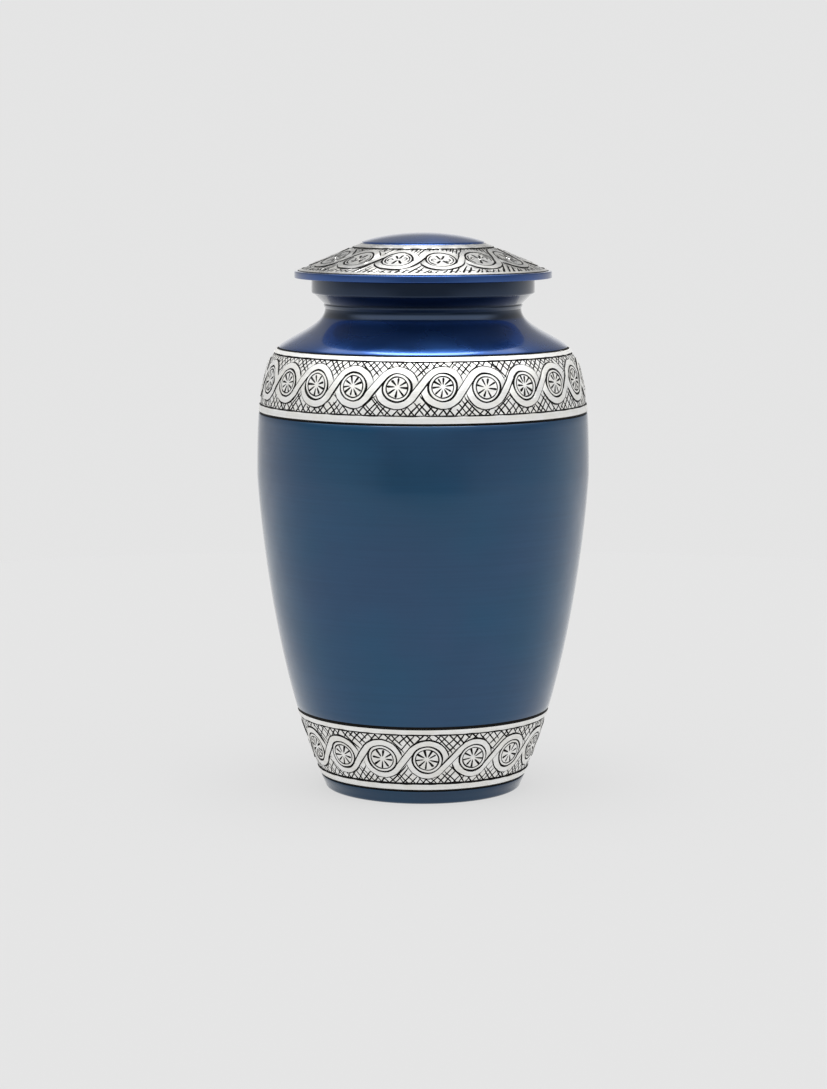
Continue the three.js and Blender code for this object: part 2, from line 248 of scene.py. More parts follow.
class Scroll:
    """The flat pattern of a band. x runs to the right and y up from the row of roundels."""

    def __init__(self, band, outline):
        self.band = band
        self.outline = outline
        self.count = band["count"]
        edges = ("bottom", "field_bottom", "field_top", "top")
        bottom, field_bottom, field_top, top = (outline.length_at(band[edge]) for edge in edges)
        self.middle = (field_bottom + field_top) / 2 + band["raised"]
        self.groove = band["groove"]
        self.low = bottom - self.middle - self.groove
        self.field_low = field_bottom - self.middle
        self.field_high = field_top - self.middle
        self.high = top - self.middle + self.groove
        self.pitch = 2 * math.pi * outline.point_at(self.middle)[0] / self.count
        self.around = self.pitch * self.count
        self.inner = band["roundel"]
        self.outer = band["roundel"] + band["ribbon"]
        self.stretch = band["stretch"]
        self.slant = math.acos((self.inner + self.outer) / self.pitch)
        self.crossing = math.acos(self.inner / self.outer) - self.slant
        self.across = np.array([math.cos(self.slant), -math.sin(self.slant)])
        self.along = np.array([math.sin(self.slant), math.cos(self.slant)])
        self.strip = self.pitch * math.sin(self.slant)

    def random(self, index, what=""):
        return random.Random(f"{self.band['name']} {what} {index % self.count}")

    def wander(self, x, y):
        """Where a point of the ideal pattern lies on this hand-cut one."""
        turn = 2 * math.pi * np.asarray(x) / self.around
        shift = np.zeros_like(turn)
        lift = np.zeros_like(turn)
        rng = random.Random(self.band["name"])
        finer = [(self.count * waves, size) for waves, size in STRAY["repeat_waves"]]
        for waves, size in (*STRAY["waves"], *finer):
            shift += size * np.sin(waves * turn + rng.uniform(0, ANY_TURN) + STRAY["shift_drift"] * y)
            lift += size * np.sin((waves + 2) * turn + rng.uniform(0, ANY_TURN) - STRAY["lift_drift"] * y)
        room = np.clip(np.minimum(y - self.field_low, self.field_high - y) / STRAY["fade"], 0, 1)
        return x + shift * room, y + lift * room

    def inside_strip(self, x, y):
        """How far inside the slanting stretch of a ribbon a point is."""
        best = np.full(np.shape(x), -np.inf)
        for k in (-2, -1, 0, 1):
            across = (x - k * self.pitch) * self.across[0] + y * self.across[1]
            along = (x - k * self.pitch) * self.along[0] + y * self.along[1]
            inside = np.minimum(across - self.inner, self.outer - across)
            best = np.maximum(best, np.minimum(inside, np.minimum(along, self.strip - along)))
        return best

    def from_roundels(self, x, y):
        """The distance to the middle of the nearest roundel, and the offset from it."""
        near = np.round(x / self.pitch) * self.pitch
        return np.hypot(x - near, y), x - near

    def in_field(self, x, y):
        flat = y / self.stretch
        distance, _ = self.from_roundels(x, flat)
        return (
            (distance > self.outer) & (self.inside_strip(x, flat) < 0)
            & (y > self.field_low) & (y < self.field_high)
        )

    def depth(self, x, y):
        """How deep the surface lies below the outline, without the engraved lines."""
        def blend(low, high, inside):
            share = np.clip(0.5 + inside / (2 * OUTLINE_HALF), 0, 1)
            return low + (high - low) * share

        flat = y / self.stretch
        distance, offset = self.from_roundels(x, flat)
        across = offset * self.across[0] + flat * self.across[1]
        along = offset * self.along[0] + flat * self.along[1]
        under = np.clip(1 - (self.inner - np.abs(across)) / TAIL_REACH, 0, 1) * (across * along > 0)
        found = blend(FIELD_DEPTH, FIELD_DEPTH * under, self.outer - distance)
        found = blend(found, 0, self.inside_strip(x, flat))
        dish = DISH["depth"] * np.clip(DISH["spread"] - distance / self.inner, 0, 1)
        found = blend(found, dish, self.inner - distance)
        found = blend(found, 0, np.maximum(y - self.field_high, self.field_low - y))
        edge = np.minimum(y - self.low, self.high - y)
        return found + np.clip((self.groove - edge) * CUT_SLOPE, 0, GROOVE_DEPTH)

    def place(self, x, y, depth):
        """Points of the pattern on the urn, in metres."""
        moved_x, moved_y = self.wander(x, y)
        radius, height = self.outline.sunk(self.middle + moved_y, depth).T
        angle = math.radians(self.band["turn"]) + 2 * math.pi * moved_x / self.around
        return np.column_stack([radius * np.sin(angle), -radius * np.cos(angle), height]) * MM


class Cuts:
    """The engraved lines of one stretch of a band, each a groove with two sides and a deepest line."""

    def __init__(self, scroll):
        self.scroll = scroll
        self.reach = scroll.pitch / 2
        self.points = []
        self.edges = []
        self.faces = []
        self.grooves = []

    def add(self, centre, halves, closed=False):
        centre = np.array(centre, float)
        halves = np.broadcast_to(np.asarray(halves, float), len(centre)).copy()
        if centre[:, 0].min() > self.reach + 1 or centre[:, 0].max() < -self.reach - 1:
            return
        if closed:
            centre = np.vstack([centre, centre[:1]])
            halves = np.append(halves, halves[0])
        steps = np.diff(centre, axis=0)
        along = np.vstack([steps[:1], steps[1:] + steps[:-1], steps[-1:]])
        if closed:
            along[0] = along[-1] = steps[0] + steps[-1]
        along /= np.linalg.norm(along, axis=1)[:, None]
        side = np.column_stack([-along[:, 1], along[:, 0]]) * halves[:, None]
        first = len(self.points)
        count = len(centre)
        for row in (centre - side, centre, centre + side):
            self.points.extend(Vector(point) for point in row)
        for i in range(count - 1):
            self.edges.append((first + count + i, first + count + i + 1))
            corners = [first + i, first + i + 1, first + 2 * count + i + 1, first + 2 * count + i]
            if halves[i] == 0:
                corners = [first + count + i, *corners[1:3]]
            if halves[i + 1] == 0:
                corners = [first + i, first + count + i + 1, first + 2 * count + i]
            self.faces.append(corners)
        self.grooves.append((centre, halves))

    def depth(self, points):
        """How deep the grooves cut at each point."""
        found = np.zeros(len(points))
        for centre, halves in self.grooves:
            reach = halves.max()
            near = np.flatnonzero(
                ((points > centre.min(0) - reach) & (points < centre.max(0) + reach)).all(1)
            )
            if len(near) == 0:
                continue
            start, step = centre[:-1], np.diff(centre, axis=0)
            offset = points[near][:, None] - start
            share = np.clip((offset * step).sum(2) / np.maximum((step**2).sum(1), 1e-12), 0, 1)
            distance = np.linalg.norm(offset - share[..., None] * step, axis=2)
            half = halves[:-1] + share * np.diff(halves)
            found[near] = np.maximum(found[near], (half - distance).max(1) * CUT_SLOPE)
        return found


def arc(centre, radius, start, end, stretch=1.0):
    steps = max(3, round(abs(end - start) / ARC_STEP))
    angles = np.linspace(start, end, steps + 1)
    return np.column_stack([centre + radius * np.cos(angles), radius * np.sin(angles) * stretch])


def uneven(rng, count, half, amount):
    """Half widths of a line cut by hand: they swell and thin slowly."""
    turn = np.linspace(0, 2 * math.pi, count, endpoint=False)
    swell = sum(np.sin(waves * turn + rng.uniform(0, ANY_TURN)) for waves in (1, 2, 3))
    return half * (1 + amount * swell / 2)


def tapered(rng, start, end, half, thinning=0.0):
    """A short cut that begins blunt and comes to a point."""
    start, end = np.array(start, float), np.array(end, float)
    bow = np.array([start[1] - end[1], end[0] - start[0]]) * rng.uniform(-TAPER["bow"], TAPER["bow"])
    first = start + (end - start) * TAPER["ends"] + bow
    second = start + (end - start) * (1 - TAPER["ends"]) + bow
    thin = half * rng.uniform(TAPER["thinnest"], 1) * (1 - thinning)
    return [start, first, second, end], [half * TAPER["blunt"], half, thin, 0]


def fading(halves):
    """Half widths of a line whose two ends come to a point."""
    halves[0] = halves[-1] = 0
    return halves


def cut_scroll_lines(cuts, index, x):
    """The two edges of the ribbon that begins at the roundel at x and ends over the next one."""
    scroll = cuts.scroll
    rng = scroll.random(index, "ribbon")
    stretch = scroll.stretch
    slant, crossing = scroll.slant, scroll.crossing
    start = np.array([scroll.inner * math.cos(slant), -scroll.inner * math.sin(slant) * stretch])
    over = arc(x + scroll.pitch, scroll.outer, math.pi - slant, crossing, stretch)
    under = arc(x, scroll.outer, math.pi + crossing, 2 * math.pi - slant, stretch)
    for bend, tip in ((over, [x, 0] + start), (under[::-1], [x + scroll.pitch, 0] - start)):
        line = np.vstack([tip, tip + (bend[0] - tip) * TIP_SHARE, bend])
        cuts.add(line, fading(uneven(rng, len(line), OUTLINE_HALF, UNEVEN)))


def cut_wheel(cuts, index, x):
    """A roundel with two rings and wedge-shaped spokes."""
    scroll = cuts.scroll
    rng = scroll.random(index, "wheel")
    for share, half, amount in (WHEEL["rim"], WHEEL["ring"]):
        radius = scroll.inner * share
        angles = np.linspace(0, 2 * math.pi, RING_POINTS, endpoint=False)
        ring = np.column_stack([x + radius * np.cos(angles), radius * np.sin(angles)])
        cuts.add(ring, uneven(rng, RING_POINTS, half, amount), closed=True)
    spokes = rng.choice(WHEEL["spokes"])
    start_turn = rng.uniform(0, ANY_TURN)
    aside = WHEEL["off_centre"]
    hub = np.array([x + rng.uniform(-aside, aside), rng.uniform(-aside, aside)])
    for i in range(spokes):
        angle = start_turn + (i + rng.uniform(-WHEEL["sway"], WHEEL["sway"])) * 2 * math.pi / spokes
        direction = np.array([math.cos(angle), math.sin(angle)])
        start = rng.uniform(*WHEEL["start"])
        end = scroll.inner * WHEEL["ring"][0] - rng.choice(WHEEL["short_by"])
        half = rng.uniform(*WHEEL["half"])
        places = (start, start + WHEEL["narrow_reach"], end - WHEEL["point"], end)
        cuts.add([hub + direction * place for place in places], [0, half * WHEEL["narrow"], half, 0])


def cut_flower(cuts, index, x):
    """A roundel of the lid: a ring, bold petals about the middle and small curls beside them."""
    scroll = cuts.scroll
    rng = scroll.random(index, "flower")
    stretch = scroll.stretch
    angles = np.linspace(0, 2 * math.pi, RING_POINTS, endpoint=False)
    ring = np.column_stack([x + scroll.inner * np.cos(angles), scroll.inner * np.sin(angles) * stretch])
    bold = np.full(RING_POINTS, FLOWER["ring"])
    for turns in FLOWER["swell_turns"]:
        bold += FLOWER["swell"] * np.clip(np.cos(angles - rng.uniform(*turns)), 0, 1)
    cuts.add(ring, bold, closed=True)
    for side in (0, math.pi):
        turn = side + rng.uniform(-FLOWER["sway"], FLOWER["sway"])
        start = turn - rng.uniform(*FLOWER["arc_spread"])
        end = turn + rng.uniform(*FLOWER["arc_spread"])
        line = arc(x, scroll.inner * FLOWER["arc_share"], start, end, stretch)
        cuts.add(line, fading(uneven(rng, len(line), FLOWER["thin"], UNEVEN)))
        curl = rng.uniform(*FLOWER["curl"])
        reach = FLOWER["curl_place"]
        middle = np.array([x + reach * math.cos(turn), reach * math.sin(turn) * stretch])
        swirl = np.linspace(0, rng.uniform(*FLOWER["curl_turn"]), CURL_POINTS) * rng.choice((-1, 1))
        swirl = swirl + rng.uniform(0, ANY_TURN)
        radii = curl * np.linspace(1, FLOWER["curl_end"], CURL_POINTS)
        rises = radii * np.sin(swirl) * FLOWER["curl_rise"]
        line = middle + np.column_stack([radii * np.cos(swirl), rises])
        cuts.add(line, fading(np.full(CURL_POINTS, FLOWER["thin"])))
    for angle in FLOWER["petal_turns"]:
        angle += rng.uniform(-FLOWER["petal_sway"], FLOWER["petal_sway"])
        direction = np.array([math.cos(angle), math.sin(angle) * stretch])
        start, end = rng.uniform(*FLOWER["petal_start"]), rng.uniform(*FLOWER["petal_end"])
        half = rng.uniform(*FLOWER["petal_half"])
        tip, wide = FLOWER["petal_blunt"]
        places = (start, start + FLOWER["petal_reach"], end - FLOWER["petal_point"], end)
        line = [np.array([x, 0]) + direction * place for place in places]
        cuts.add(line, [half * tip, half * wide, half, 0])


def field_runs(scroll, start, angle, longest=16.0, step=0.12):
    """The stretch of a line from the field's border to the first ribbon that it meets."""
    distances = np.arange(0, longest, step)
    x = start[0] + distances * math.cos(angle)
    y = start[1] + distances * math.sin(angle)
    inside = scroll.in_field(x, y)
    inside[0] = True
    stop = np.argmin(inside) if not inside.all() else len(inside) - 1
    return distances[stop]


def cut_hatching(cuts, index, middle):
    """Crossed lines over the field above and below the scroll."""
    scroll = cuts.scroll
    for side, border in ((-1, scroll.field_high), (1, scroll.field_low)):
        for lean in (-1, 1):
            rng = scroll.random(index, f"hatching {side} {lean}")
            lines = round(scroll.pitch / HATCHING["spacing"])
            for i in range(lines):
                x = middle + ((i + rng.uniform(*PLACE_IN_STEP)) / lines - 0.5) * scroll.pitch
                slant = HATCHING["slant"] + rng.uniform(-HATCHING["sway"], HATCHING["sway"])
                angle = side * (math.pi / 2 + lean * slant)
                length = field_runs(scroll, (x, border), angle)
                half = rng.uniform(*HATCHING["half"])
                direction = np.array([math.cos(angle), math.sin(angle)])
                if length < HATCHING["shortest"]:
                    continue
                if rng.random() < HATCHING["broken"]:
                    length *= rng.uniform(*HATCHING["broken_length"])
                start = np.array([x, border]) - direction * BORDER_OVERLAP
                end = start + direction * (length + HATCHING["overrun"])
                cuts.add(*tapered(rng, start, end, half))


def cut_ladders(cuts, index, middle):
    """Rows of short bold strokes over the field of the lid, thick where they meet the border."""
    scroll = cuts.scroll
    for side, border in ((-1, scroll.field_high), (1, scroll.field_low)):
        rng = scroll.random(index, f"ladder {side}")
        lines = round(scroll.pitch / LADDER["spacing"])
        for i in range(lines):
            x = middle + ((i + rng.uniform(*PLACE_IN_STEP)) / lines - 0.5) * scroll.pitch
            slant = LADDER["slant"] + rng.uniform(-LADDER["sway"], LADDER["sway"])
            angle = side * (math.pi / 2 - side * slant)
            length = field_runs(scroll, (x, border), angle)
            if length < LADDER["shortest"]:
                continue
            half = rng.uniform(*LADDER["half"])
            direction = np.array([math.cos(angle), math.sin(angle)])
            start = np.array([x, border]) - direction * BORDER_OVERLAP
            end = start + direction * (length * rng.uniform(*LADDER["length"]) + LADDER["overrun"])
            cuts.add(*tapered(rng, start, end, half, LADDER["thinning"]))
            if length > LADDER["rung_from"] and rng.random() < LADDER["rung_share"]:
                branch = start + direction * length * rng.uniform(*LADDER["rung_place"])
                rung = np.array([direction[1], -direction[0]]) * rng.uniform(*LADDER["rung"])
                cuts.add(*tapered(rng, branch, branch + rung, LADDER["rung_half"]))


def cut_borders(cuts, index):
    """The lines between the field and the plain borders."""
    scroll = cuts.scroll
    steps = np.arange(-GRID_COLUMNS, GRID_COLUMNS + 1)
    x = steps * scroll.pitch / GRID_COLUMNS
    turn = 2 * math.pi * (x + index * scroll.pitch) / scroll.around
    for y, phase in ((scroll.field_low, 1.0), (scroll.field_high, 4.0)):
        swell = BORDER_LINE["swell"] * np.sin(BORDER_LINE["waves"] * turn + phase)
        fine_swell = BORDER_LINE["fine_swell"] * np.sin(BORDER_LINE["fine_waves"] * turn - phase)
        half = scroll.band["border"] * (1 + swell + fine_swell)
        cuts.add(np.column_stack([x, np.full_like(x, y)]), half)


def tile(scroll, k, on_lid):
    """One repeat of a band cut into triangles: its points, depths, triangles and which are engraved.
    Its x starts at its own roundel."""
    cuts = Cuts(scroll)
    for near in (-1, 0, 1):
        x = near * scroll.pitch
        cut_scroll_lines(cuts, k + near, x)
        if on_lid:
            cut_flower(cuts, k + near, x)
            cut_ladders(cuts, k + near, x)
        else:
            cut_wheel(cuts, k + near, x)
            cut_hatching(cuts, k + near, x)
    cut_borders(cuts, k)

    half = scroll.pitch / 2
    low, high = scroll.low, scroll.high
    columns = np.linspace(-half, half, GRID_COLUMNS + 1)
    rows = np.linspace(low, high, round((high - low) / GRID_PITCH) + 1)
    rows = np.union1d(rows, (low + scroll.groove, high - scroll.groove))
    points = list(cuts.points)
    points.extend(Vector((x, y)) for y in rows for x in columns)
    faces = list(cuts.faces)
    for bottom, top in ((low, low + scroll.groove), (high - scroll.groove, high), (low, high)):
        first = len(points)
        corners = ((-half, bottom), (half, bottom), (half, top), (-half, top))
        points.extend(Vector(corner) for corner in corners)
        faces.append([first, first + 1, first + 2, first + 3])
    whole = len(faces) - 1
    found, _, triangles, _, _, sources = delaunay_2d_cdt(points, cuts.edges, faces, 0, CUT_TOLERANCE, True)
    kept = [i for i, source in enumerate(sources) if whole in source and len(triangles[i]) == 3]
    flat = np.array([point[:] for point in found])
    depth = scroll.depth(flat[:, 0], flat[:, 1]) + cuts.depth(flat)
    engraved = np.array([len(sources[i]) > 1 for i in kept])
    return flat, depth, np.array([triangles[i] for i in kept]), engraved


def back_rings(scroll):
    """Rings over the edges and the hidden back of a band, in the order that closes it."""
    columns = (np.arange(scroll.count * GRID_COLUMNS) / GRID_COLUMNS - 0.5) * scroll.pitch
    rows = [(scroll.low, None)]
    rows += [(y, CHANNEL - BACK_GAP) for y in np.linspace(scroll.low, scroll.high, BACK_ROWS)]
    rows += [(scroll.high, None)]
    rings = []
    for y, depth in rows:
        level = np.full(len(columns), y)
        sunk = scroll.depth(columns, level) if depth is None else np.full(len(columns), depth)
        rings.append(scroll.place(columns, level, sunk))
    return rings


def band_piece(scroll, on_lid, materials):
    """A closed ring of engraved metal. Its own UV map lays it out in a few rows of repeats."""
    places, triangles, slots, layout = [], [], [], []
    total = 0
    per_row = math.ceil(scroll.count / scroll.band["rows"])
    for k in range(scroll.count):
        flat, depth, faces, engraved = tile(scroll, k, on_lid)
        places.append(scroll.place(flat[:, 0] + k * scroll.pitch, flat[:, 1], depth))
        triangles.append(faces + total)
        slots.append(engraved.astype(int))
        across = (flat[:, 0] / scroll.pitch + 0.5 + k % per_row) / per_row
        up = (flat[:, 1] - scroll.low) / (scroll.high - scroll.low)
        up = (k // per_row + LAYOUT_MARGIN + (1 - 2 * LAYOUT_MARGIN) * up) / scroll.band["rows"]
        layout.append(np.column_stack([across, up]))
        total += len(flat)
    layout = np.vstack(layout)
    triangles = np.vstack(triangles)
    uv = layout[triangles].reshape(-1, 2)

    rings = back_rings(scroll)
    count = len(rings[0])
    quads = [
        (total + r * count + i, total + r * count + (i + 1) % count,
         total + (r + 1) * count + (i + 1) % count, total + (r + 1) * count + i)
        for r in range(len(rings) - 1) for i in range(count)
    ]
    side_walls = (0, len(rings) - 2)
    back_slots = [int(r in side_walls) for r in range(len(rings) - 1) for _ in range(count)]
    back_uv = [
        ((i + side) / count, (r + up) * BACK_LAYOUT / len(rings))
        for r in range(len(rings) - 1) for i in range(count)
        for side, up in ((0, 0), (1, 0), (1, 1), (0, 1))
    ]
    return mesh_piece(
        scroll.band["name"],
        np.vstack(places + rings),
        [tuple(face) for face in triangles.tolist()] + quads,
        np.concatenate(slots).tolist() + back_slots,
        np.vstack([uv, back_uv]),
        materials)


def mesh_piece(name, points, faces, slots, uv, materials):
    """A mesh object with its points merged, its faces turned outwards and its sharp edges marked."""
    mesh = bpy.data.meshes.new(name)
    mesh.from_pydata(points.tolist(), [], faces)
    mesh.polygons.foreach_set("material_index", np.array(slots, np.int32))
    layer = mesh.uv_layers.new(name="OFBake")
    layer.uv.foreach_set("vector", np.asarray(uv, np.float32).ravel())
    for material in materials:
        mesh.materials.append(material)
    shape = bmesh.new()
    shape.from_mesh(mesh)
    bmesh.ops.remove_doubles(shape, verts=shape.verts, dist=MERGE)
    bmesh.ops.dissolve_degenerate(shape, dist=MERGE / 10, edges=shape.edges)
    bmesh.ops.recalc_face_normals(shape, faces=shape.faces)
    shape.to_mesh(mesh)
    shape.free()
    mesh.shade_smooth()
    mesh.set_sharp_from_angle(angle=math.radians(SHARP_ANGLE))
    piece = bpy.data.objects.new(name, mesh)
    bpy.context.scene.collection.objects.link(piece)
    return piece


# Turned shells

def filleted(corners):
    """A line through corners of a section, each given as radius, height and rounding."""
    line = []
    for i, (radius, height, rounding) in enumerate(corners):
        corner = np.array([radius, height], float)
        if rounding == 0:
            line.append(corner)
            continue
        ends = []
        for other in (corners[i - 1], corners[i + 1]):
            toward = np.array(other[:2], float) - corner
            reach = np.linalg.norm(toward)
            ends.append(corner + toward * min(rounding / reach, LONGEST_FILLET))
        for share in np.linspace(0, 1, FILLET_STEPS):
            line.append((1 - share) ** 2 * ends[0] + 2 * share * (1 - share) * corner + share**2 * ends[1])
    return line


def channel(scroll, outline):
    """The seat of a band: over the rounded lower lip, along its floor and over the upper lip."""
    low = scroll.middle + scroll.low
    high = scroll.middle + scroll.high
    lip = [(LIP * share + SIDE_GAP, depth) for share, depth in LIP_CURVE]
    floor = np.linspace(low - SIDE_GAP, high + SIDE_GAP, CHANNEL_ROWS)
    rows = [(low - out, depth) for out, depth in lip]
    rows += [(length, CHANNEL) for length in floor]
    rows += [(high + out, depth) for out, depth in reversed(lip)]
    return [outline.sunk(np.array(length), depth) for length, depth in rows]


def stretch_of(outline, start, end, step):
    """Points on an outline between two lengths, without the ends."""
    count = max(2, round((end - start) / step))
    return [outline.point_at(length) for length in np.linspace(start, end, count + 1)[1:-1]]


def ends_of(scroll):
    """Where the lips of a band's channel begin and end, as lengths along the outline."""
    return scroll.middle + scroll.low - LIP - SIDE_GAP, scroll.middle + scroll.high + LIP + SIDE_GAP


def turned_piece(name, sections, materials):
    """A closed shell turned about the urn's axis. Each section is a run of points of the profile
    and the slot of the material that it wears, and the first and last points lie on the axis."""
    profile = np.array([point for points, _ in sections for point in points])
    worn = [slot for points, slot in sections for _ in points]
    turns = np.linspace(0, 2 * math.pi, SEGMENTS, endpoint=False)
    points = [
        np.column_stack([radius * np.sin(turns), -radius * np.cos(turns), np.full(SEGMENTS, height)])
        for radius, height in profile[1:-1]
    ]
    rows = len(points)
    ends = np.array([[0, 0, profile[0][1]], [0, 0, profile[-1][1]]])
    run = np.concatenate([[0], np.cumsum(np.hypot(*np.diff(profile, axis=0).T))])
    run /= run[-1]
    faces, slots, uv = [], [], []
    for r in range(rows - 1):
        low, high = r * SEGMENTS, (r + 1) * SEGMENTS
        for i in range(SEGMENTS):
            after = (i + 1) % SEGMENTS
            faces.append((low + i, low + after, high + after, high + i))
            slots.append(worn[r + 2])
            for side, row in ((0, r + 1), (1, r + 1), (1, r + 2), (0, r + 2)):
                uv.append(((i + side) / SEGMENTS, run[row]))
    for end, row, at in ((rows * SEGMENTS, 0, 0), (rows * SEGMENTS + 1, rows - 1, rows + 1)):
        for i in range(SEGMENTS):
            faces.append((end, row * SEGMENTS + i, row * SEGMENTS + (i + 1) % SEGMENTS))
            slots.append(worn[at])
            uv.append(((i + 0.5) / SEGMENTS, run[at]))
            uv.append((i / SEGMENTS, run[row + 1]))
            uv.append(((i + 1) / SEGMENTS, run[row + 1]))
    return mesh_piece(name, np.vstack([*points, ends]) * MM, faces, slots, uv, materials)


def vessel_piece(outline, base, upper, materials):
    base_start, base_end = ends_of(base)
    upper_start, upper_end = ends_of(upper)
    corner_turns = np.linspace(0, math.pi / 2, FILLET_STEPS)
    corner = np.column_stack([
        FOOT["flat"] + (FOOT["radius"] - FOOT["flat"]) * np.sin(corner_turns),
        FOOT["height"] * (1 - np.cos(corner_turns))])
    neck_length = outline.length_at(NECK["height"])
    outside = [
        *[(radius, 0) for radius in UNDERSIDE_RINGS],
        *corner,
        *stretch_of(outline, 0, base_start, FOOT_STEP),
        *channel(base, outline),
        *stretch_of(outline, base_end, upper_start, BELLY_STEP),
        *channel(upper, outline),
        *stretch_of(outline, upper_end, neck_length, SHOULDER_STEP),
        *filleted([
            (NECK["radius"], NECK["height"], 0),
            (NECK["top_radius"] + BEAD, NECK["top"] - BEAD, BEAD),
            (NECK["top_radius"], NECK["top"], BEAD / 3),
            (COLLAR["bevel"], COLLAR["bevel_top"], 0),
            (COLLAR["radius"], COLLAR["bottom"], COLLAR["corner"]),
            (COLLAR["radius"], COLLAR["top"], COLLAR["mouth"]),
            (NECK["bore"] + WALL, COLLAR["top"], 0),
        ]),
    ]
    below_bore = outline.heights[outline.radii > NECK["bore"] + WALL].max()
    lengths = np.linspace(outline.length_at(below_bore), outline.length_at(2 * WALL), INSIDE_ROWS)
    bore = filleted([
        (NECK["bore"] + WALL, COLLAR["top"], 0),
        (NECK["bore"], COLLAR["top"], COLLAR["mouth"]),
        (NECK["bore"], NECK["height"], 0),
    ])[1:]
    wall = [np.maximum(outline.sunk(length, WALL), (NECK["bore"], 0)) for length in lengths[1:]]
    bottom = filleted([
        (*wall[-1], 0),
        (FOOT["flat"], WALL, FOOT["inside_corner"]),
        (FOOT["flat"] / 2, WALL, 0),
        (0, WALL, 0),
    ])[1:]
    return turned_piece("vessel", [(outside, 0), ([*bore, *wall, *bottom], 1)], materials)


def lid_piece(outline, band, materials):
    start, end = ends_of(band)
    rim_top = RIM["bottom"] + RIM["height"]
    rise = DOME["top"] - CONE["top"] - DOME["edge"]

    def dome(reach, drop):
        share = np.sin(np.linspace(0, math.asin(reach / CONE["inner"]), DOME_ROWS))
        heights = CONE["top"] + DOME["edge"] - drop + rise * (1 - share**2) ** DOME["power"]
        return np.column_stack([share * CONE["inner"], heights])

    plate_top = RIM["bottom"] + PLUG["plate"]
    plug_bottom = RIM["bottom"] - PLUG["depth"]
    cone_top = outline.length_at(CONE["top"] - CONE["hollow_drop"])
    cone_lengths = np.linspace(cone_top, outline.length_at(PLUG["hollow_top"]), UNDER_CONE_ROWS)
    below = [
        *dome(CONE["inner"] * DOME["hollow_share"], WALL),
        *[outline.sunk(length, WALL) for length in cone_lengths],
        *filleted([
            (*outline.sunk(cone_lengths[-1], WALL), 0),
            (PLUG["hollow"], plate_top, PLUG["corner"]),
            (PLUG["radius"] - WALL, plate_top, PLUG["corner"]),
            (PLUG["radius"] - WALL, plug_bottom, PLUG["mouth"]),
            (PLUG["radius"], plug_bottom, PLUG["edge"]),
            (PLUG["radius"], RIM["bottom"], 0),
        ])[1:],
    ]
    outside = [
        *filleted([
            (PLUG["radius"], RIM["bottom"], 0),
            (RIM["radius"], RIM["bottom"], RIM["corner"] / 2),
            (RIM["radius"], rim_top, RIM["corner"]),
            (RIM["ledge"], rim_top + RIM["ledge_rise"], RIM["ledge_corner"]),
            (*outline.point_at(start), 0),
        ])[1:-1],
        *channel(band, outline),
        *dome(outline.point_at(end)[0] - SIDE_GAP, 0)[::-1],
    ]
    return turned_piece("lid", [(below, 1), (outside, 0)], materials)


# Materials

class Nodes:
    """Adds nodes to a shader tree. Each call sets its inputs to values or joins them to sockets."""

    def __init__(self, tree):
        self.tree = tree

    def add(self, kind, inputs, output=0, **settings):
        node = self.tree.nodes.new("ShaderNode" + kind)
        for key, value in settings.items():
            setattr(node, key, value)
        for key, value in inputs.items():
            self.join(value, node.inputs[key])
        return node.outputs[output]

    def join(self, value, socket):
        if isinstance(value, bpy.types.NodeSocket):
            self.tree.links.new(value, socket)
        elif isinstance(value, tuple) and len(value) < len(socket.default_value):
            socket.default_value = (*value, 1)
        else:
            socket.default_value = value

    def math(self, operation, *values):
        return self.add("Math", dict(enumerate(values)), operation=operation)

    def noise(self, place, scale, detail, roughness=0.5):
        inputs = {"Vector": place, "Scale": scale, "Detail": detail, "Roughness": roughness}
        return self.add("TexNoise", inputs)

    def between(self, value, low, high, first=0.0, last=1.0):
        """A value that goes smoothly from first to last while another goes from low to high."""
        inputs = {0: value, 1: low, 2: high, 3: first, 4: last}
        return self.add("MapRange", inputs, interpolation_type="SMOOTHSTEP")

    def mix(self, factor, first, second, blend_type="MIX"):
        return self.add("Mix", {0: factor, 6: first, 7: second}, 2, data_type="RGBA", blend_type=blend_type)

    def bump(self, height, strength, distance):
        return self.add("Bump", {"Strength": strength, "Distance": distance, "Height": height})


def new_material(name, **constants):
    material = bpy.data.materials.new(name)
    material.use_nodes = True
    shader = material.node_tree.nodes["Principled BSDF"]
    for key, value in constants.items():
        shader.inputs[key.replace("_", " ")].default_value = value
    return material, Nodes(material.node_tree), shader.inputs


def turned_marks(nodes, place, fine):
    """Fine lines round the axis, as turning and polishing leave: a value that changes quickly
    along the section and slowly round it."""
    split = nodes.tree.nodes.new("ShaderNodeSeparateXYZ")
    nodes.join(place, split.inputs[0])
    x, y, z = split.outputs
    squares = nodes.math("ADD", nodes.math("MULTIPLY", x, x), nodes.math("MULTIPLY", y, y))
    section = nodes.math("MULTIPLY", nodes.math("SUBTRACT", z, nodes.math("SQRT", squares)), fine)
    across = nodes.math("MULTIPLY", x, MARK_LENGTH)
    back = nodes.math("MULTIPLY", y, MARK_LENGTH)
    stretched = nodes.add("CombineXYZ", {0: across, 1: back, 2: section})
    return nodes.noise(stretched, 1.0, *MARK_DETAIL)


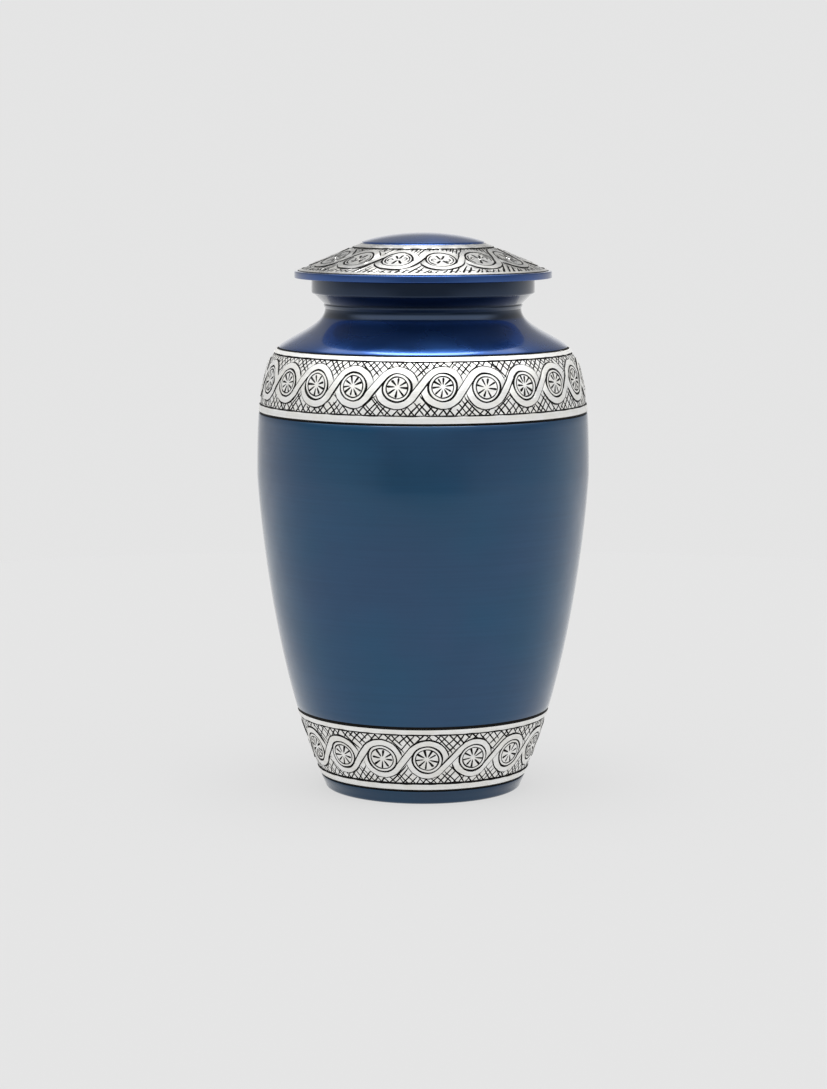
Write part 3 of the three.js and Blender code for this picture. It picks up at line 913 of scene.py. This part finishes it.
def enamel(name, zones):
    """Blue enamel on turned metal, under a clear glossy coat. Each zone is the height that it begins
    at and its finish."""
    material, nodes, inputs = new_material(
        name, Metallic=ENAMEL["metallic"], Coat_Weight=1.0, Coat_Roughness=ENAMEL["coat_roughness"],
        Coat_IOR=ENAMEL["coat_ior"])
    place = nodes.add("TexCoord", {}, "Object")
    height = nodes.add("SeparateXYZ", {0: place}, 2)
    shade = nodes.between(nodes.noise(place, *ENAMEL["clouds"]), *MOST_OF_NOISE)
    colour = roughness = None
    for start, finish in zones:
        zone_colour = nodes.mix(shade, finish["first"], finish["second"])
        if colour is None:
            colour, roughness = zone_colour, finish["roughness"]
            continue
        above = nodes.between(height, (start - ZONE_BLEND) * MM, (start + ZONE_BLEND) * MM)
        colour = nodes.mix(above, colour, zone_colour)
        roughness = nodes.add("Mix", {0: above, 2: roughness, 3: finish["roughness"]})
    marks = turned_marks(nodes, place, ENAMEL["marks"])
    streaks = nodes.between(marks, *MOST_OF_NOISE, ENAMEL["streaks"], 1.0)
    nodes.join(nodes.mix(1.0, colour, streaks, "MULTIPLY"), inputs["Base Color"])
    wear = nodes.noise(place, *ENAMEL["shine"])
    shine = nodes.between(wear, *MOST_OF_NOISE, ENAMEL["glossiest"], ENAMEL["dullest"])
    nodes.join(nodes.math("ADD", roughness, shine), inputs["Roughness"])
    nodes.join(nodes.bump(marks, ENAMEL["relief"], RELIEF_DEPTH), inputs["Normal"])
    return material


def nickel(name, bright, roughness, metallic):
    """Pale metal with fine turning marks, a faint tarnish in patches and a fine grain."""
    material, nodes, inputs = new_material(name, Metallic=metallic)
    place = nodes.add("TexCoord", {}, "Object")
    marks = turned_marks(nodes, place, NICKEL["marks"])
    clouds = nodes.noise(place, *NICKEL["clouds"])
    tarnished = tuple(bright * share for share in NICKEL["tarnish"])
    clean = (bright, bright, bright * NICKEL["warmth"])
    colour = nodes.mix(nodes.between(clouds, *NICKEL["clean_at"]), tarnished, clean)
    streaks = nodes.between(marks, *NICKEL["streaks_at"], NICKEL["streaks"], 1.0)
    nodes.join(nodes.mix(1.0, colour, streaks, "MULTIPLY"), inputs["Base Color"])
    dull, glossy = roughness + NICKEL["dullest"], roughness + NICKEL["glossiest"]
    nodes.join(nodes.between(clouds, *MOST_OF_NOISE, dull, glossy), inputs["Roughness"])
    grain = nodes.noise(place, *NICKEL["grain"])
    relief = nodes.math("ADD", marks, grain)
    nodes.join(nodes.bump(relief, NICKEL["relief"], RELIEF_DEPTH), inputs["Normal"])
    return material


def blackened(name):
    """The dark oxide in the engraved lines, a little uneven."""
    material, nodes, inputs = new_material(name, Metallic=0.0, Specular_IOR_Level=OXIDE["specular"])
    place = nodes.add("TexCoord", {}, "Object")
    clouds = nodes.noise(place, *OXIDE["clouds"])
    colour = nodes.mix(nodes.between(clouds, *OXIDE["second_at"]), OXIDE["first"], OXIDE["second"])
    nodes.join(colour, inputs["Base Color"])
    nodes.join(nodes.between(clouds, *MOST_OF_NOISE, *OXIDE["roughness"]), inputs["Roughness"])
    nodes.join(nodes.bump(clouds, OXIDE["relief"], OXIDE["relief_depth"]), inputs["Normal"])
    return material


# Stage

def floor():
    """A pale, faintly glowing disc under the urn, as bright as the background that its edge meets. What
    the urn reflects of it grows dim towards the front."""
    mesh = bpy.data.meshes.new("floor")
    turns = np.linspace(0, 2 * math.pi, FLOOR["sides"], endpoint=False)
    points = [(FLOOR["radius"] * math.cos(t), FLOOR["radius"] * math.sin(t), 0) for t in turns]
    mesh.from_pydata(points, [], [tuple(range(len(points)))])
    disc = bpy.data.objects.new("floor", mesh)
    bpy.context.scene.collection.objects.link(disc)
    material, nodes, inputs = new_material(
        "pale_floor", Roughness=FLOOR["roughness"], Specular_IOR_Level=0.0)
    inputs["Base Color"].default_value = (FLOOR["shade"],) * 3 + (1,)
    inputs["Emission Color"].default_value = (1, 1, 1, 1)
    y = nodes.add("SeparateXYZ", {0: nodes.add("TexCoord", {}, "Object")}, 1)
    reflected = nodes.between(y, *FLOOR["fade_y"], FLOOR["dim_glow"], FLOOR["glow"])
    seen = nodes.add("LightPath", {}, "Is Camera Ray")
    nodes.join(nodes.add("Mix", {0: seen, 2: reflected, 3: FLOOR["glow"]}), inputs["Emission Strength"])
    mesh.materials.append(material)


def studio():
    """Light from far away, set by its direction: a small softbox overhead, bright high up in front and
    behind, dimmer low down behind and to the sides, and darkest low down in front, beside the camera."""
    world = bpy.data.worlds.new("studio")
    world.use_nodes = True
    nodes = Nodes(world.node_tree)
    split = nodes.tree.nodes.new("ShaderNodeSeparateXYZ")
    nodes.join(nodes.add("TexCoord", {}, "Generated"), split.inputs[0])
    x, y, z = split.outputs
    wide = nodes.math("ABSOLUTE", x)

    def blend(share, first, second):
        return nodes.add("Mix", {0: share, 2: first, 3: second})

    def grows(value, edge):
        return nodes.between(value, *SKY[edge])

    def fades(value, edge):
        return nodes.between(value, *SKY[edge], 1.0, 0.0)

    def product(first, *others):
        for other in others:
            first = nodes.math("MULTIPLY", first, other)
        return first

    front = nodes.between(z, *SKY["front_z"], LIGHT["front_low"], LIGHT["front_high"])
    middle = nodes.between(z, *SKY["behind_z"], LIGHT["behind"], LIGHT["back_low"])
    back = blend(grows(wide, "behind_x"), middle, LIGHT["back_low"])
    back = blend(grows(z, "back_z"), back, LIGHT["back_high"])
    sky = blend(fades(y, "ahead_y"), back, front)
    around = blend(fades(z, "horizon_z"), sky, BACKGROUND)
    dark = product(
        fades(wide, "camera_x"), fades(y, "camera_y"),
        grows(z, "camera_bottom_z"), fades(z, "camera_top_z"))
    around = blend(dark, around, LIGHT["camera_side"])
    sides = product(grows(wide, "sides_x"), nodes.between(z, *SKY["sides_z"], LIGHT["sides"], 0.0))

    rise = nodes.math("MAXIMUM", z, SKY["least_z"])
    sideways = nodes.math("DIVIDE", wide, rise)
    backwards = nodes.math("DIVIDE", y, rise)
    box = product(
        fades(sideways, "box_x"), grows(backwards, "box_front"), fades(backwards, "box_back"),
        LIGHT["overhead"])
    light = nodes.math("ADD", nodes.math("ADD", around, sides), box)

    seen = nodes.add("LightPath", {}, "Is Camera Ray")
    colour = nodes.mix(seen, light, (BACKGROUND, BACKGROUND, BACKGROUND))
    nodes.join(colour, world.node_tree.nodes["Background"].inputs["Color"])
    bpy.context.scene.world = world
    bpy.context.scene.view_settings.view_transform = "Standard"


def camera():
    data = bpy.data.cameras.new("camera")
    data.sensor_width = SENSOR
    data.lens = SENSOR * CAMERA["focal_pixels"] / PHOTO_HEIGHT
    data.clip_start = CAMERA["clip_start"]
    lens = bpy.data.objects.new("camera", data)
    lens.location = CAMERA["place"]
    lens.rotation_euler = (math.pi / 2 - math.radians(CAMERA["down"]), 0, 0)
    bpy.context.scene.collection.objects.link(lens)
    bpy.context.scene.camera = lens


def main():
    camera()
    floor()
    studio()
    body = body_outline()
    cover = lid_outline()
    base, upper, top = Scroll(BASE_BAND, body), Scroll(UPPER_BAND, body), Scroll(LID_BAND, cover)
    # The lowest zone, from the floor up to the base band's field, is painted shade: a darker copy of the
    # body's enamel.
    body_enamel = enamel("layered_enamel", (
        (0, FOOT_PAINTED_SHADE), (BASE_BAND["field_bottom"], BODY_FINISH), (SHOULDER["height"], DEEP_FINISH),
        (NECK_FROM, NECK_FINISH)))
    lid_enamel = enamel("deep_enamel", ((0, DEEP_FINISH),))
    bare = nickel("bare_metal", bright=0.5, roughness=0.45, metallic=1.0)
    oxide = blackened("black_oxide")
    satin = [nickel("satin_nickel", bright=0.96, roughness=0.42, metallic=0.6), oxide]
    bright = [nickel("bright_nickel", bright=0.78, roughness=0.3, metallic=1.0), oxide]
    vessel = vessel_piece(body, base, upper, [body_enamel, bare])
    lid = lid_piece(cover, top, [lid_enamel, bare])
    bands = [
        band_piece(base, False, satin),
        band_piece(upper, False, satin),
        band_piece(top, True, bright),
    ]
    for piece in (vessel, lid, *bands):
        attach(piece, "root")
    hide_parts("urn_body")
    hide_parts("urn_lid")


main()
